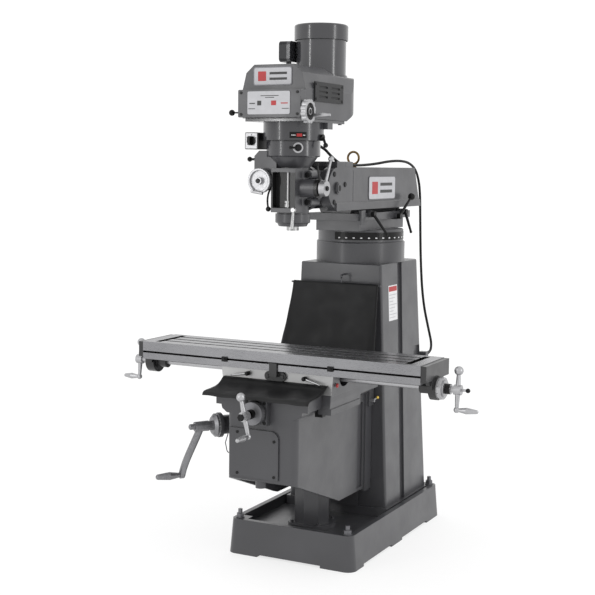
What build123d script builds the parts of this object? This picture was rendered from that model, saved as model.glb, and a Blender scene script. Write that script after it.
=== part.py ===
from build123d import *
import os
from math import atan2, cos, degrees, hypot, pi, radians, sin, tan

# Knee-type vertical milling machine. Millimetres, +X to the operator's right, -Y to the
# operator, +Z up. The origin is on the floor at the centre of the base.

# ---- Driving dimensions ----
base_x, base_y, base_h = 600, 1012, 150
base_draft = 5
rim = 24
pan_floor = 108

column_top = 1237
column_half_bottom, column_half_top = 242, 197
column_front, column_rear_bottom, column_rear_top = -28, 472, 422
way_front, way_half_front, way_half_back, way_top = -60, 118, 98, 1122

turret_y, seat_top, ring_top, guide_top = 187, 1329, 1385, 1462
ram_half, ram_bottom, ram_top = 120, 1480, 1662.5
nod_y, nod_z, cheek_r = -325, 1575, 86
tilt_y = -424

spindle_y = -494
nose_z, quill_r = 1402, 43
stop_x, stop_y = 18, spindle_y - 78
pulley_z = 1912
cable_r = 6
gland_mouth = (214, 498, 778)
bolt_places = [(sx * 256, sy * 464) for sx in (-1, 1) for sy in (-1, 1)]
housing_bottom, housing_top = 1433, 1702
gear_top, cover_top, pedestal_top = 1840, 2062, 2036
motor_y, motor_r, cowl_r = -250, 105.5, 113.5
belt_half, belt_front = 140, -668

table_x, table_front, table_rear, table_top, table_bottom = 1270, -648, -394, 914, 839
table_y = (table_front + table_rear) / 2
screw_z = 812
saddle_half, saddle_front, saddle_rear = 257, -625, -330
knee_half, knee_rail, knee_front, knee_top = 158, 208, -750, 752
screw_axis_y = -280
cross_x, cross_z = -12, 690

crank_origin = (-284, -634, 584)  # elevating dial, on the slanted shaft
crank_heading = degrees(atan2(-354, -284))

running = 0.05  # radial clearance of a running fit
gap = 0.3  # between parts that move past each other


# ---- Helpers ----
def block(x, y, z):
    """Box between the low and high values of x, y and z."""
    centre = Pos((x[0] + x[1]) / 2, (y[0] + y[1]) / 2, (z[0] + z[1]) / 2)
    return centre * Box(x[1] - x[0], y[1] - y[0], z[1] - z[0])


def rod(start, direction, radius, length, end_radius=None):
    """Cylinder, or cone, from start along direction."""
    where = Plane(origin=start, z_dir=direction)
    align = (Align.CENTER, Align.CENTER, Align.MIN)
    if end_radius is None:
        return where * Cylinder(radius, length, align=align)
    return where * Cone(radius, end_radius, length, align=align)


def link(start, end, radius, end_radius=None):
    """Rod from one point to another."""
    run = Vector(*end) - Vector(*start)
    return rod(start, run, radius, run.length, end_radius)


def ball(centre, radius):
    """Sphere with its seam turned away from the row's axes."""
    return Pos(*centre) * Rot(0, 0, 40) * Sphere(radius)


def prism(plane, points, depth):
    """Polygon drawn on a plane and extruded along its normal."""
    return extrude(plane * make_face(Polyline(*points, close=True)), depth)


def side_prism(points, x0, x1):
    """Polygon of (y, z) points, from x0 to x1."""
    return prism(Plane.YZ.offset(x0), points, x1 - x0)


def front_prism(points, y0, y1):
    """Polygon of (x, z) points, from y0 back to y1."""
    return prism(Plane.XZ.offset(-y1), points, y1 - y0)


def nut(start, direction, across, height, bore=0):
    """Hexagon nut or bolt head."""
    plane = Plane(origin=start, z_dir=direction)
    solid = extrude(plane * RegularPolygon(across / 3**0.5, 6), height)
    return solid - rod(start, direction, bore, height) if bore else solid


def torus(centre, axis, major, minor):
    return Plane(origin=centre, z_dir=axis) * Torus(major, minor)


def two_ball_crank(hub, out, up, arm, grip):
    """Balanced crank: big ball, hub, small ball and a turned grip that points outward."""
    hub, out, up = Vector(*hub), Vector(*out), Vector(*up)
    top, low = hub + up * arm, hub - up * (arm + 4)
    solid = link(hub, top, 11, 7) + link(hub, low, 11, 7) + ball(top, 18)
    solid += ball(low, 12) + rod(hub - out * 15, out, 20, 30)
    grip_start = low + out * 10
    solid += link(low, grip_start, 8) + link(grip_start, grip_start + out * 30, 8, 13)
    solid += link(grip_start + out * 30, grip_start + out * grip, 13, 8)
    return solid + ball(grip_start + out * grip, 8)


def save(name, shape):
    solids = shape.solids()
    for solid in solids:
        assert solid.is_valid and solid.volume > 0, name
    export_step(Compound(children=list(solids)) if len(solids) > 1 else solids[0],
                f"parts/{name}.step")
    print(name, len(solids), round(sum(s.volume for s in solids) / 1000), "cm3")


# ---- Base and column (fixed) ----
def base_casting():
    """Drafted tub with a chip pan, corner lugs, and a ribbed underside on feet."""
    outer = extrude(RectangleRounded(base_x, base_y, 42), base_h, taper=base_draft)
    pan_x, pan_y = base_x - 2 * rim - 34, base_y - 2 * rim - 34
    depth = base_h - pan_floor
    pan = extrude(Plane.XY.offset(pan_floor) * RectangleRounded(pan_x, pan_y, 26), depth + 1,
                  taper=-base_draft)
    solid = outer - pan - extrude(RectangleRounded(base_x - 70, base_y - 70, 20), 84)
    lugs = [block(sorted((sx * 215, sx * 290)), sorted((sy * 425, sy * 500)), (0, base_h))
            for sx in (-1, 1) for sy in (-1, 1)]
    reach, turn = hypot(base_x, base_y) - 90, degrees(atan2(base_y, base_x))
    webs = [Rot(0, 0, angle) * block((-reach / 2, reach / 2), (-9, 9), (0, 90))
            for angle in (turn, -turn)]
    for shape in lugs + webs:
        solid += shape & outer
    solid += block((-252, 252), (-42, 480), (pan_floor - 5, base_h))
    for x, y in ((0, -490), (0, 490)):
        solid -= block((-150, 150), (y - 40, y + 40), (-1, 10))
    for x in (-285, 285):
        for y in (-240, 180):
            solid -= block((x - 25, x + 25), (y - 150, y + 150), (-1, 10))
    solid -= rod((0, screw_axis_y, -1), (0, 0, 1), 26, 200)
    for x, y in bolt_places:
        solid -= rod((x, y, -1), (0, 0, 1), 10.5, 200)
    return solid


def levelling_bolts():
    solid = Part()
    for x, y in bolt_places:
        solid += rod((x, y, 1), (0, 0, 1), 10, 187, 9.4)
        solid += rod((x, y, base_h), (0, 0, 1), 19, 3)
        solid += nut((x, y, base_h + 3), (0, 0, 1), 30, 16)
    return solid


def screw_pedestal():
    """Hollow octagonal pillar with the elevating nut at its top."""
    z0 = pan_floor
    start = (0, screw_axis_y, z0)
    solid = rod(start, (0, 0, 1), 105, 20)
    octagon = Plane.XY.offset(z0) * Pos(0, screw_axis_y) * RegularPolygon(80, 8)
    solid += extrude(octagon, 350)
    solid -= rod((0, screw_axis_y, z0 - 1), (0, 0, 1), 30, 281)
    solid -= rod((0, screw_axis_y, z0 + 270), (0, 0, 1), 19 + running, 100)
    for i in range(4):
        angle = radians(90 * i + 45)
        spot = (92 * cos(angle), screw_axis_y + 92 * sin(angle), z0 + 20)
        solid += nut(spot, (0, 0, 1), 14, 9)
    return solid


def column_slice(z, inset=0):
    """Plan of the column at a height, as a sketch."""
    share = (z - base_h) / (column_top - base_h)
    half = column_half_bottom + share * (column_half_top - column_half_bottom) - inset
    rear = column_rear_bottom + share * (column_rear_top - column_rear_bottom) - inset
    front = column_front + inset
    return Plane.XY.offset(z) * Pos(0, (front + rear) / 2) * Rectangle(
        2 * half, rear - front)


def column_casting():
    """Hollow tapered column with a dovetail way, flank grooves and a cable recess."""
    solid = loft([column_slice(base_h), column_slice(column_top)], ruled=True)
    upright = [e for e in solid.edges() if abs(e.tangent_at(0).Z) > 0.9]
    rear = [e for e in upright if e.center().Y > 200]
    solid = fillet([e for e in upright if e.center().Y < 200], 10)
    rear = [e for e in solid.edges()
            if abs(e.tangent_at(0).Z) > 0.9 and e.center().Y > 300]
    solid = fillet(rear, 42)
    solid = chamfer(solid.faces().sort_by(Axis.Z)[-1].edges(), 3)
    inner = loft([column_slice(base_h - 1, 22), column_slice(1212, 22)], ruled=True)
    solid -= inner
    way = [(-way_half_front, way_front), (way_half_front, way_front),
           (way_half_back, column_front), (way_half_back, column_front + 6),
           (-way_half_back, column_front + 6), (-way_half_back, column_front)]
    solid += prism(Plane.XY.offset(base_h), way, way_top - base_h)
    for side in (-1, 1):
        low = Plane.XY.offset(base_h - 1) * Pos(side * (column_half_bottom + 8), 160)
        high = Plane.XY.offset(column_top + 1) * Pos(side * (column_half_top + 8), 180)
        solid -= loft([low * Rectangle(38, 52), high * Rectangle(38, 52)], ruled=True)
    solid -= block((200, 260), (332, 418), (768, 834))
    solid -= rod((0, turret_y, 1200), (0, 0, 1), 70, 50)
    solid -= rear_plane() * Pos(0, 0, -10) * Box(220, 420, 60)
    return solid


def rear_plane(height=600):
    """Plane on the column's sloping rear face, with its y axis up the slope."""
    share = (height - base_h) / (column_top - base_h)
    y = column_rear_bottom + share * (column_rear_top - column_rear_bottom)
    slope = Vector(0, column_rear_top - column_rear_bottom, column_top - base_h)
    return Plane(origin=(0, y, height), x_dir=(-1, 0, 0),
                 z_dir=Vector(-1, 0, 0).cross(slope))


def column_rear_door():
    """Bolted cover over the opening in the column's back."""
    here = rear_plane()
    solid = here * Pos(0, 0, 3.05) * Box(264, 464, 6)
    for x in (-120, 120):
        for y in (-218, 0, 218):
            solid += here * Pos(x, y, 8.05) * Cylinder(8, 4)
    return solid


def turret_seat():
    solid = rod((0, turret_y, column_top), (0, 0, 1), 202, seat_top - column_top)
    solid = fillet(solid.edges().group_by(Axis.Z)[-1], 4)
    bore = rod((0, turret_y, column_top - 1), (0, 0, 1), 58 + running, 120)
    return solid - bore


def cable_gland():
    """Gland on the column's rear corner, with its mouth to the rear."""
    x, y, z = gland_mouth
    solid = block((x - 18, x + 18), (446.5, y - 20), (z - 14, z + 14))
    solid += nut((x, y - 20, z), (0, 1, 0), 24, 8)
    return solid + rod((x, y - 12, z), (0, 1, 0), 9.5, 12, cable_r + 0.5)


def cover_hanger():
    """Hook and rod that hold the top of the rear way cover."""
    x, y, z = 28, -75, 1148
    hook = rod((x, column_front + 5, z + 42), (0, -1, 0), 4, column_front + 5 - y)
    hook += torus((x, y, z + 35), (1, 0, 0), 7, 2.5)
    hook += rod((x, y, z + 28), (0, 0, -1), 2.5, 26)
    return hook + rod((-218, y, z), (1, 0, 0), 4, 436)


def rear_way_cover():
    """Rubber sheet that hangs in front of the ways, down to the knee."""
    outer = [(-72, 1138), (-92, 1080), (-124, 980), (-156, 890), (-186, 812), (-194, 778)]
    inner = [(y + 6, z - 1) for y, z in reversed(outer)]
    return side_prism(outer + inner, -222, 222)


def saddle_rear_cover():
    """Rubber sheet between the saddle and the hanging cover."""
    outer = [(-329.5, 812), (-296, 796), (-256, 788), (-216, 786), (-204, 788)]
    inner = [(y, z - 6) for y, z in reversed(outer)]
    return side_prism(outer + inner, -216, 216)


# ---- Knee ----
def knee_casting():
    """Box knee with wide top rails, a rising front underside and a way groove."""
    profile = [(knee_front, 405), (-344, 250), (-62, 246), (-62, 226),
               (column_front - 1, 226), (column_front - 1, 700), (-62, 700),
               (-62, knee_top), (knee_front, knee_top)]
    solid = side_prism(profile, -knee_half, knee_half)
    front = [e for e in solid.edges() if abs(e.tangent_at(0).Z) > 0.9
             and e.center().Y < knee_front + 1]
    solid = fillet(front, 26)
    rails = [(-knee_rail, knee_top), (-knee_rail, 704), (-184, 704), (-180, 688),
             (-knee_half, 672), (knee_half, 672), (180, 688), (184, 704),
             (knee_rail, 704), (knee_rail, knee_top)]
    solid += front_prism(rails, knee_front, -64)
    cavity = [(knee_front + 20, 630), (knee_front + 20, 380), (-350, 230),
              (-100, 200), (-100, 630)]
    solid -= side_prism(cavity, -knee_half + 20, knee_half - 20)
    groove = [(-way_half_front - gap, way_front - gap),
              (way_half_front + gap, way_front - gap),
              (way_half_back + gap, column_front), (-way_half_back - gap, column_front)]
    solid -= prism(Plane.XY.offset(200), groove, 600)
    for side in (-1, 1):
        x = sorted((side * 150, side * 170))
        solid -= block(x, (-164, -112), (262, 640))
    solid -= rod((0, screw_axis_y, 620), (0, 0, 1), 12 + running, 36)
    solid -= rod((cross_x, knee_front - 1, cross_z), (0, 1, 0), 11 + running, 80)
    solid -= block((-46, 22), (knee_front + 60, -80), (662, 730))
    solid -= block((-46, 22), (-700, -110), (720, 760))
    solid += rod((-11, knee_front + 23, 430), (0, 0, -1), 22, 55)
    return solid


def knee_front_cover():
    corner = 34
    solid = block((-140, 82), (knee_front - 8, knee_front - 0.05), (418, 616))
    edge = [e for e in solid.edges() if abs(e.tangent_at(0).Y) > 0.9
            and e.center().X > 0 and e.center().Z > 600]
    solid = fillet(edge, corner)
    for x in (-104, 64):
        for z in (432, 600 if x < 0 else 576):
            spot = (x, knee_front - 8, z)
            solid += rod(spot, (0, -1, 0), 6, 3)
    return solid


def knee_flanges():
    """Proud flanges at the knee's rear edges, with a pad for the lock lever."""
    solid = block((150, 166), (-96, -31), (236, 690)) + block((-166, -150), (-96, -31), (236, 690))
    return solid + block((160, 178), (-86, -40), (616, 700))


def cross_feed_bracket():
    """Square bearing plate for the cross-feed screw."""
    half = 52
    solid = block((cross_x - half, cross_x + half), (knee_front - 25, knee_front - 0.05),
                  (cross_z - half, cross_z + half))
    solid = fillet([e for e in solid.edges() if abs(e.tangent_at(0).Y) > 0.9], 8)
    solid += rod((cross_x, knee_front - 25, cross_z), (0, -1, 0), 44, 10)
    solid -= rod((cross_x, knee_front + 1, cross_z), (0, -1, 0), 11 + running, 60)
    for sx in (-1, 1):
        for sz in (-1, 1):
            spot = (cross_x + sx * 40, knee_front - 25, cross_z + sz * 40)
            solid -= rod(spot, (0, 1, 0), 6.5, 6)
    return solid


def shaft_point(along, across=0, up=0):
    """Point from the elevating dial: outward along its shaft, square to it, and up."""
    angle = radians(crank_heading)
    x, y, z = crank_origin
    return (x + along * cos(angle) - across * sin(angle),
            y + along * sin(angle) + across * cos(angle), z + up)


shaft_out = (cos(radians(crank_heading)), sin(radians(crank_heading)), 0)


def elevating_bracket():
    """Round housing that carries the slanted elevating shaft out of the knee."""
    solid = rod(shaft_point(-190), shaft_out, 40, 190 - 26)
    solid += rod(shaft_point(-26), shaft_out, 52, 12)
    solid -= block((-knee_half, 200), (-800, 0), (400, 800))
    solid -= rod(shaft_point(-400), shaft_out, 12 + running, 420)
    return solid


def elevating_shaft_hole():
    return rod(shaft_point(-420), shaft_out, 14, 420)


def knee_oil_line():
    """Thin oil pipe from the elevating housing back into the knee's side."""
    angle = radians(crank_heading)
    start = shaft_point(-60, 0, -38)
    x, y, z = start
    route = [start, (x - 8, y - 10, z - 40), (x - 2, y - 4, z - 82), (-186, y + 18, z - 96),
             (-158.6, y + 22, z - 92)]
    path = FilletPolyline(*route, radius=14)
    section = Plane(origin=path @ 0, z_dir=path % 0) * Circle(2)
    return sweep(section, path)


def elevating_screw():
    solid = rod((0, screw_axis_y, 30), (0, 0, 1), 19, 590)
    solid += rod((0, screw_axis_y, 620), (0, 0, 1), 12, 35)
    return solid + rod((0, screw_axis_y, 612), (0, 0, 1), 46, 17.7)


def elevating_crank():
    """Shaft, dial and curved crank arm with a turned grip."""
    solid = rod(shaft_point(-330), shaft_out, 12, 440)
    solid += rod(shaft_point(-13), shaft_out, 49, 14)
    solid += rod(shaft_point(1), shaft_out, 49, 12, 36)
    solid += rod(shaft_point(13), shaft_out, 20, 16)
    solid += rod(shaft_point(30), shaft_out, 22, 60, 20)
    solid += ball(shaft_point(104), 12)
    arm = [shaft_point(62), shaft_point(84, -30, -80), shaft_point(106, -62, -160),
           shaft_point(112, -96, -225)]
    path = Spline(*arm)
    section = Plane(origin=path @ 0, z_dir=path % 0) * Ellipse(16, 12)
    solid += sweep(section, path)
    grip = shaft_point(104, -96, -225)
    solid += rod(grip, shaft_out, 15, 18)
    solid += rod(shaft_point(122, -96, -225), shaft_out, 10, 44, 17)
    solid += rod(shaft_point(166, -96, -225), shaft_out, 17, 50, 12)
    return solid + ball(shaft_point(216, -96, -225), 12)


def knee_lock_lever():
    """Small clamp lever on the right gib."""
    hub = (178.2, -66, 640)
    solid = rod(hub, (1, 0, 0), 8, 16)
    solid += link((186, -66, 640), (200, -30 - 26, 652), 4, 3.2)
    return solid + ball((202, -54, 653.5), 7)


def cross_feed_screw():
    """Cross-feed screw with its dial, hub and balanced crank."""
    start = (cross_x, -120, cross_z)
    solid = rod(start, (0, -1, 0), 11, 770)
    solid += rod((cross_x, knee_front - 35.3, cross_z), (0, -1, 0), 49, 22, 46)
    solid += rod((cross_x, knee_front - 57, cross_z), (0, -1, 0), 19, 26)
    tilt = radians(-13)
    hub = (cross_x, knee_front - 112, cross_z)
    return solid + two_ball_crank(hub, (0, -1, 0), (sin(tilt), 0, cos(tilt)), 76, 76)


# ---- Saddle ----
def saddle_casting():
    """Cross slide: block on the knee rails, table tongue, and pockets at both ends."""
    solid = block((-saddle_half, saddle_half), (saddle_front, saddle_rear),
                  (knee_top + 0.1, table_bottom - 3))
    lean = [(saddle_half + 1, 850), (saddle_half + 1, 700), (saddle_half - 14, 700)]
    for side in (-1, 1):
        x = sorted((side * (knee_rail + gap), side * 246))
        solid += block(x, (saddle_front, saddle_rear), (702, knee_top + 0.1))
        x = sorted((side * 188, side * 246))
        solid += block(x, (saddle_front + 6, saddle_rear - 6), (676, 701))
        solid += block(x, (saddle_front + 6, saddle_rear - 6), (700.9, 702.1)) & block(
            sorted((side * (knee_rail + gap), side * 246)), (-700, -300), (700, 703))
        cut = [(side * x, z) for x, z in lean]
        solid -= front_prism(cut, saddle_front - 1, saddle_rear + 1)
    tongue = [(-96 + table_y, table_bottom - 4), (96 + table_y, table_bottom - 4),
              (96 + table_y, table_bottom), (72 + table_y, table_bottom),
              (84 + table_y, 862), (-84 + table_y, 862), (-72 + table_y, table_bottom),
              (-96 + table_y, table_bottom)]
    solid += side_prism(tongue, -saddle_half + 4, saddle_half - 4)
    for side in (-1, 1):
        solid -= rod((side * 190, table_y + 12, table_bottom - 1), (side, 0, 0), 58, 110)
    solid -= block((-300, 300), (table_y - 20, table_y + 20), (screw_z - 18, 870))
    solid -= block((-46, 22), (-700, -300), (cross_z - 28, knee_top + 4))
    return solid


def saddle_nut():
    """Cross-feed nut lug that hangs from the saddle into the knee."""
    solid = block((cross_x - 24, cross_x + 24), (-520, -440), (cross_z - 22, 756))
    return solid - rod((cross_x, -400, cross_z), (0, -1, 0), 11 + running, 200)


def table_stop_bracket():
    """Stadium plate on the saddle with the stop that the table dogs meet."""
    plane = Plane(origin=(0, saddle_front - 0.05, 816), x_dir=(1, 0, 0), z_dir=(0, -1, 0))
    solid = extrude(plane * SlotOverall(96, 38), 12)
    solid += block((-17, 17), (-656, -637), (816, 836))
    solid += block((-17, 17), (-656, -651.5), (836, 872))
    for x in (-34, 34):
        solid += rod((x, saddle_front - 12, 816), (0, -1, 0), 8, 5)
    return solid


def front_way_cover():
    """Rubber apron from the saddle over the knee's front, with a turned-down lip."""
    outer = [(-625.4, 796), (-640, 792), (-662, 778), (-690, 766), (-730, 761), (-776, 760),
             (-792, 757), (-800, 751), (-803, 742), (-797, 741), (-793, 748), (-785, 752),
             (-768, 753.5), (-730, 754.5), (-692, 758), (-660, 768), (-640, 780),
             (-625.4, 786)]
    return side_prism(outer, -246, 238)


def lock_lever(x, side):
    """Table clamp lever: hub on the saddle face and a thin arm to one side."""
    hub = (x, saddle_front - 0.4, 817)
    solid = rod(hub, (0, -1, 0), 9, 18)
    solid += nut((x, saddle_front - 18.4, 817), (0, -1, 0), 10, 6)
    tip = (x + side * 72, saddle_front - 22, 803 - 2 * side)
    return solid + link((x, saddle_front - 12, 817), tip, 5, 3.5) + ball(tip, 4.5)


# ---- Table ----
def table_slab():
    """Table with three T-slots, end troughs, a front stop groove and a dovetail."""
    solid = block((-table_x / 2, table_x / 2), (table_front, table_rear),
                  (table_bottom, table_top))
    for i in (-1, 0, 1):
        y = table_y + i * 63.5
        solid -= block((-560, 560), (y - 8, y + 8), (table_top - 20, table_top + 1))
        solid -= block((-560, 560), (y - 14.3, y + 14.3), (table_top - 32, table_top - 18))
    for side in (-1, 1):
        x = sorted((side * 560, side * 586))
        solid -= block(x, (table_front + 22, table_rear - 22), (table_top - 24, table_top + 1))
    solid -= block((-640, 640), (table_front - 1, table_front + 10), (866, 874))
    solid -= block((-640, 640), (table_front + 6, table_front + 12), (861, 879))
    groove = [(-84.4 + table_y, 862.3), (84.4 + table_y, 862.3),
              (72.4 + table_y, table_bottom), (72.4 + table_y, table_bottom - 1),
              (-72.4 + table_y, table_bottom - 1), (-72.4 + table_y, table_bottom)]
    solid -= side_prism(groove, -640, 640)
    return solid


def table_end_bracket(side):
    """Bearing bracket at a table end: flange, round bearing housing and web."""
    x0 = side * (table_x / 2 + 0.05)
    out = (side, 0, 0)
    flange = block(sorted((x0, x0 + side * 22)), (table_front + 2, table_rear - 2),
                   (848, table_top - 2))
    flange = flange + block(sorted((x0, x0 + side * 22)), (table_y - 60, table_y + 60),
                            (screw_z, 860))
    length = 30 if side > 0 else 42
    solid = flange + rod((x0, table_y, screw_z), out, 48, length)
    solid += rod((x0 - side * 46, table_y, screw_z), out, 26, 47)
    web = side_prism([(table_y - 46, screw_z), (table_y + 46, screw_z),
                      (table_rear - 4, 880), (table_front + 4, 880)],
                     *sorted((x0, x0 + side * 16)))
    solid += web
    solid -= rod((x0 - side * 60, table_y, screw_z), out, 12 + running, 200)
    return solid


def table_stop_dogs():
    solid = Part()
    for x in (-229, 255):
        solid += block((x - 12, x + 12), (table_front - 7, table_front - 0.05), (860, 880))
        solid += block((x - 3.6, x + 3.6), (table_front - 0.1, table_front + 8), (866.4, 873.6))
        solid += rod((x, table_front - 7, 870), (0, -1, 0), 6, 5)
    return solid


def table_screw():
    """Lead screw with dials and a balanced crank at each end."""
    solid = rod((-745, table_y, screw_z), (1, 0, 0), 12, 1495)
    right, left = 665.5, -677.5
    solid += rod((right, table_y, screw_z), (1, 0, 0), 45, 20, 43)
    solid += rod((right + 20, table_y, screw_z), (1, 0, 0), 34, 6)
    solid += rod((right + 26, table_y, screw_z), (1, 0, 0), 20, 22)
    solid += rod((left, table_y, screw_z), (-1, 0, 0), 30, 20, 22)
    turn = radians(6)
    up = (0, sin(turn), cos(turn))
    solid += two_ball_crank((741, table_y, screw_z), (1, 0, 0), up, 74, 70)
    solid += rod((750, table_y, screw_z), (1, 0, 0), 5, 30) + ball(
        (782, table_y, screw_z), 9)
    return solid + two_ball_crank((-735, table_y, screw_z), (-1, 0, 0), up, 74, 62)


# ---- Turret and ram ----
def turret_casting():
    """Swivel ring with the dovetail guide that the ram slides on."""
    solid = rod((0, turret_y, seat_top + 0.1), (0, 0, 1), 195, ring_top - seat_top)
    solid += rod((0, turret_y, 1290), (0, 0, 1), 58, 60)
    solid = chamfer(solid.edges().filter_by(GeomType.CIRCLE).group_by(Axis.Z)[-1], 3)
    solid += block((-104, 104), (-66, 440), (ring_top - 2, 1432))
    plate = block((-ram_half, ram_half), (-112, 486), (1430, guide_top))
    solid += plate
    tongue = [(-70, guide_top - 1), (-88, 1498), (88, 1498), (70, guide_top - 1)]
    solid += front_prism(tongue, -88, 462)
    solid += block((119, 132), (-101, -58), (1412, 1476))
    for y, z in ((-2, 1458), (297, 1440), (366, 1458)):
        solid += rod((100, y, z), (1, 0, 0), 15, 36)
    return solid


def ram_casting():
    """Hollow ram: raised fork, side lips, dovetail groove below, slanted open rear."""
    profile = [(nod_y, ram_top), (535, ram_top), (609, ram_bottom), (-258, ram_bottom),
               (nod_y, nod_z - cheek_r)]
    solid = side_prism(profile, -ram_half, ram_half)
    solid += rod((-ram_half, nod_y, nod_z), (1, 0, 0), cheek_r, 2 * ram_half)
    solid += block((-ram_half, ram_half), (nod_y - 30, nod_y), (nod_z, nod_z + 40)) & rod(
        (-ram_half, nod_y, nod_z), (1, 0, 0), cheek_r, 2 * ram_half)
    fork = block((-ram_half, ram_half), (-329, -246), (1640, 1686))
    solid += chamfer(fork.edges().group_by(Axis.Z)[-1], 4)
    lip = side_prism([(-340, ram_bottom), (609, ram_bottom), (595, 1515), (-340, 1515)],
                     -ram_half - 6, ram_half + 6)
    solid += chamfer(lip.edges().filter_by(Axis.Y).group_by(Axis.Z)[-1], 4)
    solid -= block((-75, 75), (-440, nod_y + 82), (1400, 1700))
    solid -= block((-96, 96), (-170, 640), (1515, 1646))
    groove = [(-79.2, 1478), (-88.6, 1498.4), (88.6, 1498.4), (79.2, 1478)]
    solid -= front_prism(groove, -450, 620)
    solid -= rod((-150, nod_y, nod_z), (1, 0, 0), 20 + running, 300)
    for z in (nod_z - 58, nod_z + 58):
        solid -= rod((ram_half - 6, nod_y - 29, z), (1, 0, 0), 11, 10)
    solid -= rod((ram_half - 8, -250, 1590), (1, 0, 0), 11, 10)
    solid -= block((ram_half - 1.5, ram_half + 1), (-170, -166), (1500, 1650))
    return solid


def ram_rear_cover():
    """Plate over the ram's open rear end."""
    slope = [(535 + 0.05, ram_top), (609 + 0.05, ram_bottom), (614, ram_bottom),
             (540, ram_top)]
    plate = side_prism(slope, -ram_half, ram_half)
    return plate & block((-112, 112), (500, 640), (ram_bottom + 24, ram_top - 6))


def nod_pin():
    solid = rod((-132, nod_y, nod_z), (1, 0, 0), 20, 264)
    solid += rod((ram_half + 0.1, nod_y, nod_z), (1, 0, 0), 26, 8)
    solid += nut((-ram_half - 0.1, nod_y, nod_z), (-1, 0, 0), 44, 12)
    for z in (nod_z - 58, nod_z + 58):
        solid += nut((ram_half - 6, nod_y - 29, z), (1, 0, 0), 18, 7)
    return solid + nut((ram_half - 8, -250, 1590), (1, 0, 0), 18, 8)


def eyebolt():
    solid = torus((0, 92, 1704), (0, 1, 0), 27, 5)
    solid += rod((0, 92, ram_top + 0.05), (0, 0, 1), 15, 5) + rod(
        (0, 92, ram_top + 4), (0, 0, 1), 8, 12)
    return solid


def clamp_lever(hub, tip, knob=0):
    """Clamp lever on a sideways hub; a knob radius of 0 leaves a plain tip."""
    start = (136.2, hub[0], hub[1])
    solid = rod(start, (1, 0, 0), 13, 18)
    solid += link((145, hub[0], hub[1]), tip, 7, 5.5)
    return solid + ball(tip, knob if knob else 6.5)


def adapter_casting():
    """Knuckle for the nod, and the round face that the head tilts on."""
    solid = rod((-74.8, nod_y, nod_z), (1, 0, 0), 72, 149.6)
    solid += block((-72, 72), (tilt_y + 10, nod_y), (nod_z - 71, nod_z + 71))
    solid += rod((0, tilt_y + 11.5, nod_z), (0, -1, 0), 98, 11.4)
    solid += rod((0, tilt_y + 1, nod_z), (0, -1, 0), 24, 17)
    return solid - rod((-100, nod_y, nod_z), (1, 0, 0), 20 + running, 200)


# ---- Head ----
def head_casting():
    """Quill housing with tilt flange, feed box, pinion boss and depth-stop rib."""
    y = spindle_y
    solid = rod((0, y, 1470), (0, 0, 1), 66, 232)
    solid += rod((0, y, 1660), (0, 0, 1), 70, 42, 100)
    solid += rod((0, y, housing_bottom), (0, 0, 1), 72, 38)
    solid = chamfer(solid.edges().group_by(Axis.Z)[0], 3)
    solid += block((-52, 58), (y - 94, y), (1478, 1656))
    solid += rod((0, tilt_y, nod_z), (0, -1, 0), 98, 18)
    solid += block((-62, 62), (y, tilt_y - 4), (1500, 1650))
    for x in (-74, 74):
        for z in (nod_z - 56, nod_z + 56):
            solid += rod((x, tilt_y - 2, z), (0, -1, 0), 16, 76)
    feed = block((-142, -40), (y - 72, y + 40), (1566, 1726))
    feed = chamfer([e for e in feed.edges() if abs(e.tangent_at(0).Y) > 0.9
                    and e.center().X < -100], 22)
    solid += feed - rod((0, y, housing_top), (0, 0, 1), 110.05, 80)
    solid += rod((-99, y - 70, 1604), (0, -1, 0), 30, 12)
    solid += rod((40, -532, 1577), (1, 0, 0), 36, 88)
    solid -= block((-44, 36), (y - 95, y - 62), (1496, 1640))
    solid -= block((-200, 200), (tilt_y, -300), (1400, 1800))
    solid -= rod((0, y, 1400), (0, 0, 1), quill_r + running, 310)
    solid -= rod((0, tilt_y + 1, nod_z), (0, -1, 0), 24 + running, 17.4)
    solid -= rod((40, -532, 1577), (1, 0, 0), 12 + running, 100)
    solid -= rod((-99, -500, 1604), (0, -1, 0), 9 + running, 90)
    return solid


def housing_collar():
    """Collar below the quill housing that the nose comes out of."""
    solid = rod((0, spindle_y, 1420), (0, 0, 1), 58, 12.9, 64)
    return solid - rod((0, spindle_y, 1400), (0, 0, 1), quill_r + running, 60)


def depth_stop_rod():
    return rod((stop_x, stop_y, 1490), (0, 0, 1), 5.5, 156)


def depth_stop_nuts():
    """Pair of knurled stop nuts on the depth-stop rod."""
    solid = rod((stop_x, stop_y, 1500), (0, 0, 1), 15, 12)
    solid += rod((stop_x, stop_y, 1512), (0, 0, 1), 11, 4)
    solid += rod((stop_x, stop_y, 1516), (0, 0, 1), 15, 9)
    return solid - rod((stop_x, stop_y, 1490), (0, 0, 1), 5.5 + running, 60)


def gear_housing():
    """Back-gear housing above the quill housing."""
    y = spindle_y
    solid = rod((0, y, housing_top + 0.05), (0, 0, 1), 110, 66)
    solid = chamfer(solid.edges().group_by(Axis.Z)[0], 4)
    solid -= block((-200, 200), (-412, -300), (1690, 1780))
    solid += rod((0, y, 1768), (0, 0, 1), 124, gear_top - 1768)
    solid -= rod((0, y, 1700), (0, 0, 1), 40, 140)
    solid -= rod((0, y, 1764), (0, 0, 1), 125, 3) - rod((0, y, 1763), (0, 0, 1), 107, 5)
    return solid


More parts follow.
